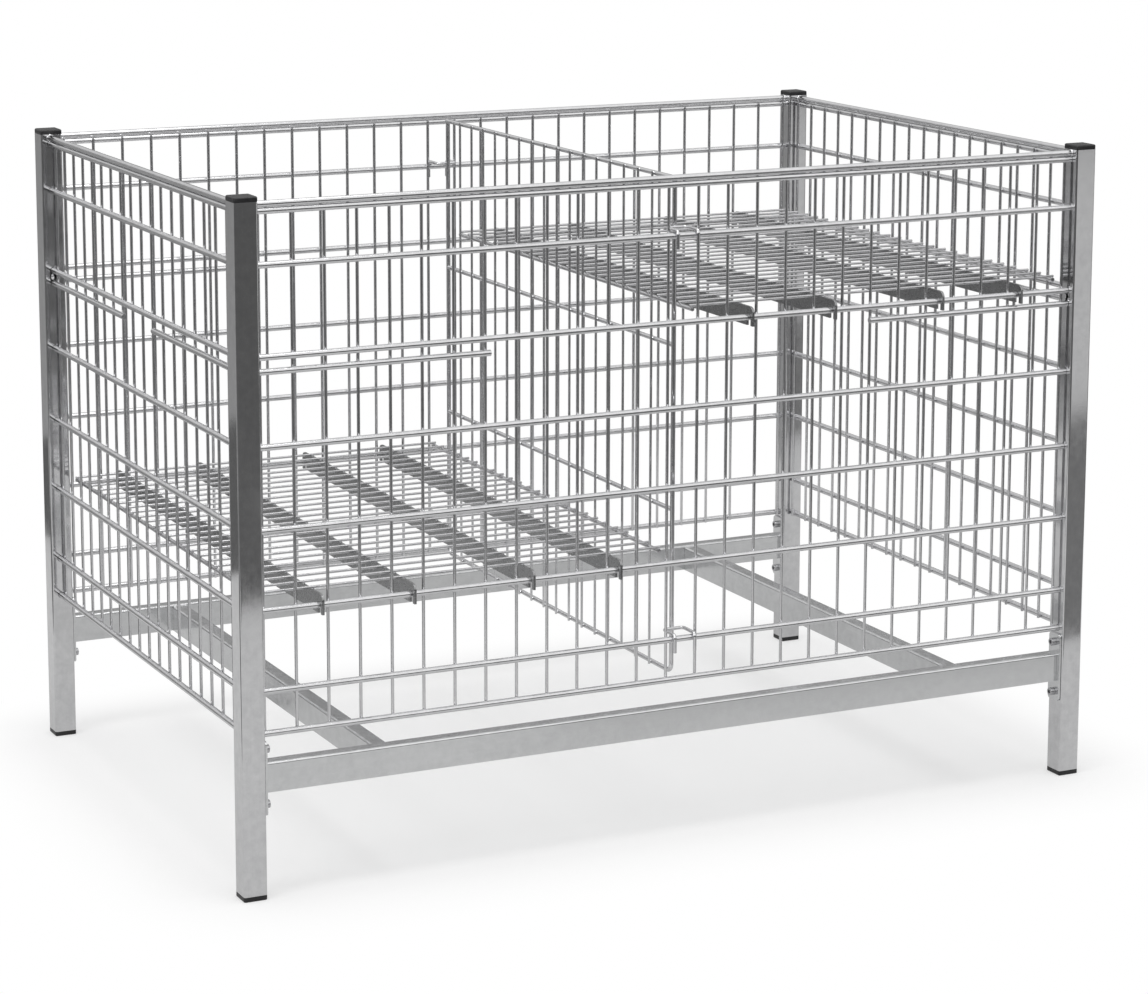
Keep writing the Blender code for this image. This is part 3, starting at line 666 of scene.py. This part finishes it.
def shelf_grid(name, middle, level, bar_places):
    """Shelf wires welded on two edge rods and four bars."""
    piece = open_piece(name)
    wire_z, rod_z = level + SHELF_WIRE_RISE, level + EDGE_ROD_RISE
    first, left, right = -SHELF_FIRST, middle - SHELF_HALF, middle + SHELF_HALF
    step = (0, 2 * SHELF_FIRST / (SHELF_WIRES - 1), 0)
    rod_places = (middle - EDGE_ROD_X, middle + EDGE_ROD_X)
    for x in rod_places:
        straight_wire(EDGE_ROD, (x, -EDGE_ROD_END, rod_z), (x, EDGE_ROD_END, rod_z))
    straight_wire(SHELF_WIRE, (left, first, wire_z), (right, first, wire_z), THIN_SIDES)
    repeat(SHELF_WIRES - 1, step)
    ease_wire_ends(WIRE_END_ROUNDING)
    for x in (*rod_places, *bar_places):
        weld_spots(SHELF_SPOT, (x, first, wire_z - SHELF_SPOT_DROP), SHELF_WIRES, step)
    close_piece()
    return piece


def shelf_bar(name, x, level):
    """A flat bar on edge with a notch at each end that hooks over a level wire."""
    piece = open_piece(name)
    low, high = level - BAR_DROP, level + BAR_RISE
    middle = (x, 0, (low + high) / 2)
    bpy.ops.mesh.primitive_cube_add(size=1, location=middle)
    bpy.ops.transform.resize(value=(BAR_THICKNESS, BAR_LENGTH, high - low), center_override=middle)

    def upper_end(mesh, edge):
        a, b = (mesh.vertices[v].co for v in edge.vertices)
        return a.z > high - CLOSE and b.z > high - CLOSE and abs(a.y - b.y) < CLOSE

    chosen("EDGE", upper_end)
    bpy.ops.mesh.bevel(offset=BAR_CORNER, segments=6, affect="EDGES")
    close_piece()
    notches = open_piece("notches")
    for y in (-FRONT_PLANE, FRONT_PLANE):
        place = (x - NOTCH_START, y, level - NOTCH_DROP)
        rounded_plate((SLOT_WIDTH, NOTCH_HEIGHT), SLOT_CORNER, place, (1, 0, 0), SLOT_STEPS)
        draw_out((NOTCH_CUT, 0, 0))
    close_piece()
    cut_away(piece, notches)
    ease_edges(piece, SHEET_EDGE)
    return piece


for side, wire in SHELF_LEVELS.items():
    body, level = f"{side}_shelf", WIRE_HEIGHTS[wire]
    places = []
    for number in range(1, BARS + 1):
        node = f"shelf_bar_{side}_{number}"
        low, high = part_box(node)
        places.append((low.x + high.x) / 2)
        bar = shelf_bar(f"{side}_shelf_bar_{number}", places[-1], level)
        # The bars take the zinc darkened as painted shade
        fit(bar, body, SHADED_BAR_ZINC, node)
    grid = shelf_grid(f"{side}_shelf_wires", SIDES[side] * SHELF_MIDDLE, level, places)
    fit(grid, body, SHELF_ZINC, f"shelf_grid_{side}")


# Divider

def divider_grid():
    """The bent rod frame with its level rods and upright wires."""
    piece = open_piece("divider_wires")
    bottom, top = DIVIDER_BOTTOM, DIVIDER_TOP
    bent_wire(DIVIDER_ROD, [
        ((0, -DIVIDER_ROD_Y, top), 0),
        ((0, -DIVIDER_ROD_Y, bottom), DIVIDER_BEND),
        ((0, DIVIDER_ROD_Y, bottom), DIVIDER_BEND),
        ((0, DIVIDER_ROD_Y, top), 0),
    ])
    heights = [bottom + (top - bottom) * share / DIVIDER_SPACES for share in range(1, DIVIDER_SPACES + 1)]
    for height in heights:
        reach = DIVIDER_ROD_Y + (DIVIDER_ROD / 2 if height == heights[-1] else 0)
        straight_wire(DIVIDER_ROD, (0, -reach, height), (0, reach, height))
    first, step = -(DIVIDER_WIRES - 1) / 2 * DIVIDER_PITCH, (0, DIVIDER_PITCH, 0)
    start = (DIVIDER_WIRE_X, first, bottom - DIVIDER_OVERHANG)
    end = (DIVIDER_WIRE_X, first, top + DIVIDER_OVERHANG)
    straight_wire(DIVIDER_WIRE, start, end, THIN_SIDES)
    repeat(DIVIDER_WIRES - 1, step)
    ease_wire_ends(WIRE_END_ROUNDING)
    for height in (bottom, *heights):
        weld_spots(DIVIDER_SPOT, (DIVIDER_SPOT_X, first, height), DIVIDER_WIRES, step)
    close_piece()
    return piece


def staple_hook(name, height):
    """The front staple: two legs over the level wire, with its bend welded to the divider's rod."""
    piece = open_piece(name)
    leg, drop = height + HOOK_RISE, height - HOOK_DROP
    bent_wire(HOOK, [
        ((-HOOK_HALF, -HOOK_PRONG, drop), 0),
        ((-HOOK_HALF, -HOOK_PRONG, leg), HOOK_BEND),
        ((-HOOK_HALF, -HOOK_BASE, leg), HOOK_BEND),
        ((HOOK_HALF, -HOOK_BASE, leg), HOOK_BEND),
        ((HOOK_HALF, -HOOK_PRONG, leg), HOOK_BEND),
        ((HOOK_HALF, -HOOK_PRONG, drop), 0),
    ], HOOK_SIDES)
    ease_wire_ends(HOOK_END_ROUNDING)
    close_piece()
    return piece


fit(divider_grid(), "divider", WIRE_ZINC, "divider_grid")
for level, wire in HOOK_LEVELS.items():
    front_hook = staple_hook(f"front_{level}_hook", WIRE_HEIGHTS[wire])
    back_hook = copied(front_hook, f"back_{level}_hook", math.pi)
    fit(front_hook, "divider", WIRE_ZINC, f"divider_hook_front_{level}")
    fit(back_hook, "divider", WIRE_ZINC, f"divider_hook_back_{level}")

# The nuts inside the posts keep their own shape
for name, node in frame["nodes"].items():
    if name.startswith("weld_nut"):
        node.data.materials.clear()
        node.data.materials.append(STEEL)


# Studio: a pale floor, soft light, and cloths that only the bright metal reflects

WHITE = (1, 1, 1, 1)
FLOOR_SPAN, FLOOR_DROP, FLOOR_SHADE = 30, -0.0002, 0.93
SHADOW_HALF, SHADOW_FADE, SHADOW_WHITE = (0.54, 0.33, 0), 0.24, 0.35
FLOOR_IN_METAL, FLOOR_IN_METAL_SHARE = 0.48, 0.6
RING_RADIUS, RING_HEIGHT = 8.5, 2.2
SKY, SKY_AHEAD, SKY_BEHIND, SKY_BEHIND_LEFT = 0.8, 0.26, 0.48, 0.25


def stage_card(name, corners, height, finish, reflected_only=False):
    """A level sheet in the studio; some are there for reflections only."""
    nothing_selected()
    (left, near), (right, far) = corners
    middle = ((left + right) / 2, (near + far) / 2, height)
    bpy.ops.mesh.primitive_plane_add(size=1, location=middle)
    card = bpy.context.object
    card.name = card.data.name = name
    card.scale = (right - left, far - near, 1)
    bpy.ops.object.transform_apply(location=True, rotation=True, scale=True)
    card.data.materials.append(finish)
    if reflected_only:
        card.visible_camera = card.visible_diffuse = card.visible_shadow = False


def pale_floor():
    """A matt floor that fades to white away from the table and keeps a soft shadow under it."""
    finish = Finish("pale_floor")
    matt_grey = (FLOOR_SHADE, FLOOR_SHADE, FLOOR_SHADE, 1)
    finish.shade(Base_Color=matt_grey, Roughness=1.0, Specular_IOR_Level=0.0)
    camera, glossy, through = finish.rays()
    seen = finish.node("Math", {"operation": "ADD", "use_clamp": True}, {0: camera, 1: through})
    place = finish.vector("ABSOLUTE", finish.place((1, 1, 0)))
    outside = finish.vector("MAXIMUM", finish.vector("SUBTRACT", place, SHADOW_HALF))
    away = finish.rise(finish.vector("LENGTH", outside, output=1), 0.0, SHADOW_FADE)
    whiteness = away * (1 - SHADOW_WHITE) + SHADOW_WHITE
    matt = Socket(finish, finish.shader.outputs[0])
    white = finish.node("Emission", sockets={"Color": WHITE, "Strength": 1.0})
    grey = finish.node("Emission", sockets={"Color": WHITE, "Strength": FLOOR_IN_METAL})
    mixed = finish.node("MixShader", sockets={0: seen * whiteness, 1: matt, 2: white})
    mixed = finish.node("MixShader", sockets={0: glossy * FLOOR_IN_METAL_SHARE, 1: mixed, 2: grey})
    finish.feed(finish.tree.nodes["Material Output"].inputs["Surface"], mixed)
    return finish.material


def cloth(name, shade):
    finish = Finish(name)
    return finish.shade(Base_Color=(shade, shade, shade, 1), Roughness=1.0, Specular_IOR_Level=0.0)


def hung_cloth():
    """Dark cloth in front and on the right, paler on the left and palest behind."""
    finish = Finish("hung_cloth")
    place = finish.place()
    left = finish.rise(finish.axis(place, 0), -3.0, -8.0)
    back = finish.rise(finish.axis(place, 1), 1.0, 6.5)
    pale = finish.node("Math", {"operation": "MAXIMUM"}, {0: left * 0.5, 1: back})
    shade = finish.mix(pale, (0.09, 0.09, 0.09), (0.42, 0.42, 0.42))
    return finish.shade(Base_Color=shade, Roughness=1.0, Specular_IOR_Level=0.0)


def cloth_ring(radius, height, finish):
    """Cloth hung all round the studio, low down."""
    nothing_selected()
    bpy.ops.mesh.primitive_cylinder_add(
        vertices=48, radius=radius, depth=height, end_fill_type="NOTHING", location=(0, 0, height / 2)
    )
    ring = bpy.context.object
    ring.name = ring.data.name = "cloth_ring"
    bpy.ops.object.transform_apply(location=True, rotation=True, scale=True)
    ring.data.materials.append(finish)
    ring.visible_camera = ring.visible_diffuse = False


def softbox(name, place, aim, size, power):
    lamp = bpy.data.lights.new(name, "AREA")
    lamp.shape, lamp.size, lamp.size_y, lamp.energy = "RECTANGLE", size[0], size[1], power
    holder = bpy.data.objects.new(name, lamp)
    holder.location = place
    holder.rotation_euler = (Vector(aim) - Vector(place)).to_track_quat("-Z", "Y").to_euler()
    bpy.context.scene.collection.objects.link(holder)


class Sky(Finish):
    """The studio's white light: greyer behind the table where the metal reflects it."""

    def __init__(self, name):
        self.world = bpy.data.worlds.new(name)
        self.world.use_nodes = True
        self.tree = self.world.node_tree
        self.shader = self.tree.nodes["Background"]

    def light(self):
        camera, glossy, through = self.rays()
        direction = self.node("TexCoord", output=0)
        ahead = self.rise(self.axis(direction, 1), 0.45, -0.25)
        low = self.rise(self.axis(direction, 2), 0.48, 0.28)
        right = self.rise(self.axis(direction, 0), 0.05, 0.30)
        dim = (1 - ahead) * low * (right * (1 - SKY_BEHIND_LEFT) + SKY_BEHIND_LEFT)
        reflected = glossy * (ahead * SKY_AHEAD - dim * SKY_BEHIND)
        self.feed(self.shader.inputs["Color"], WHITE)
        self.feed(self.shader.inputs["Strength"], SKY + (camera + through) * (1 - SKY) + reflected)
        return self.world


DARK, GREY, PALE = cloth("dark_cloth", 0.14), cloth("grey_cloth", 0.22), cloth("pale_cloth", 0.38)
stage_card("floor", ((-FLOOR_SPAN, -FLOOR_SPAN), (FLOOR_SPAN, FLOOR_SPAN)), FLOOR_DROP, pale_floor())
for name, corners, height, finish in (
    ("front_cloth", ((-9, -9), (1.9, -1.69)), 0.004, DARK),
    ("front_far_cloth", ((1.8, -9), (2.7, -4.0)), 0.005, DARK),
    ("right_front_cloth", ((0.15, -2.4), (2.1, -0.95)), 0.006, GREY),
    ("left_cloth", ((-9, -1.78), (-1.9, 1.0)), 0.004, GREY),
    ("left_near_cloth", ((-1.95, -0.45), (-1.15, 1.0)), 0.005, DARK),
    ("left_front_cloth", ((-9, -1.78), (-1.2, -1.4)), 0.005, DARK),
    ("right_cloth", ((1.9, -2.0), (9, 2.0)), 0.004, DARK),
    ("back_cloth", ((1.2, 1.5), (9, 9)), 0.003, GREY),
    ("back_left_cloth", ((-9, 1.5), (1.2, 9)), 0.003, PALE),
    ("back_left_near_cloth", ((-1.75, 1.1), (-0.95, 2.3)), 0.005, DARK),
):
    stage_card(name, corners, height, finish, reflected_only=True)
cloth_ring(RING_RADIUS, RING_HEIGHT, hung_cloth())
softbox("overhead_softbox", place=(-0.2, -0.5, 3.4), aim=(0, 0, 0.3), size=(1.5, 1.2), power=26)
softbox("left_softbox", place=(-3.4, -1.2, 2.2), aim=(0, 0, 0.4), size=(1.6, 2.0), power=22)
bpy.context.scene.world = Sky("studio").light()


# Camera: lengths and places in the picture are in its pixels, angles in degrees

PICTURE_WIDTH, PICTURE_HEIGHT = 1148, 994
FOCAL_LENGTH, VIEW_CENTRE = 3316.12, (506.58, 324.58)
VIEW_PLACE = (-1.92348, -3.97139, 1.37490)
VIEW_DOWN, VIEW_TURN, VIEW_ROLL = 9.970, -25.025, -0.061

camera = bpy.data.cameras.new("camera")
camera.sensor_width = 36
camera.lens = FOCAL_LENGTH * camera.sensor_width / PICTURE_WIDTH
camera.shift_x = (PICTURE_WIDTH / 2 - VIEW_CENTRE[0]) / PICTURE_WIDTH
camera.shift_y = -(PICTURE_HEIGHT / 2 - VIEW_CENTRE[1]) / PICTURE_WIDTH
camera.clip_end = 200
viewer = bpy.data.objects.new("camera", camera)
viewer.matrix_world = (
    Matrix.Translation(VIEW_PLACE)
    @ Euler((math.radians(90 - VIEW_DOWN), 0, math.radians(VIEW_TURN))).to_matrix().to_4x4()
    @ Matrix.Rotation(math.radians(VIEW_ROLL), 4, "Z")
)
bpy.context.scene.collection.objects.link(viewer)
bpy.context.scene.camera = viewer
bpy.context.scene.view_settings.view_transform = "Standard"
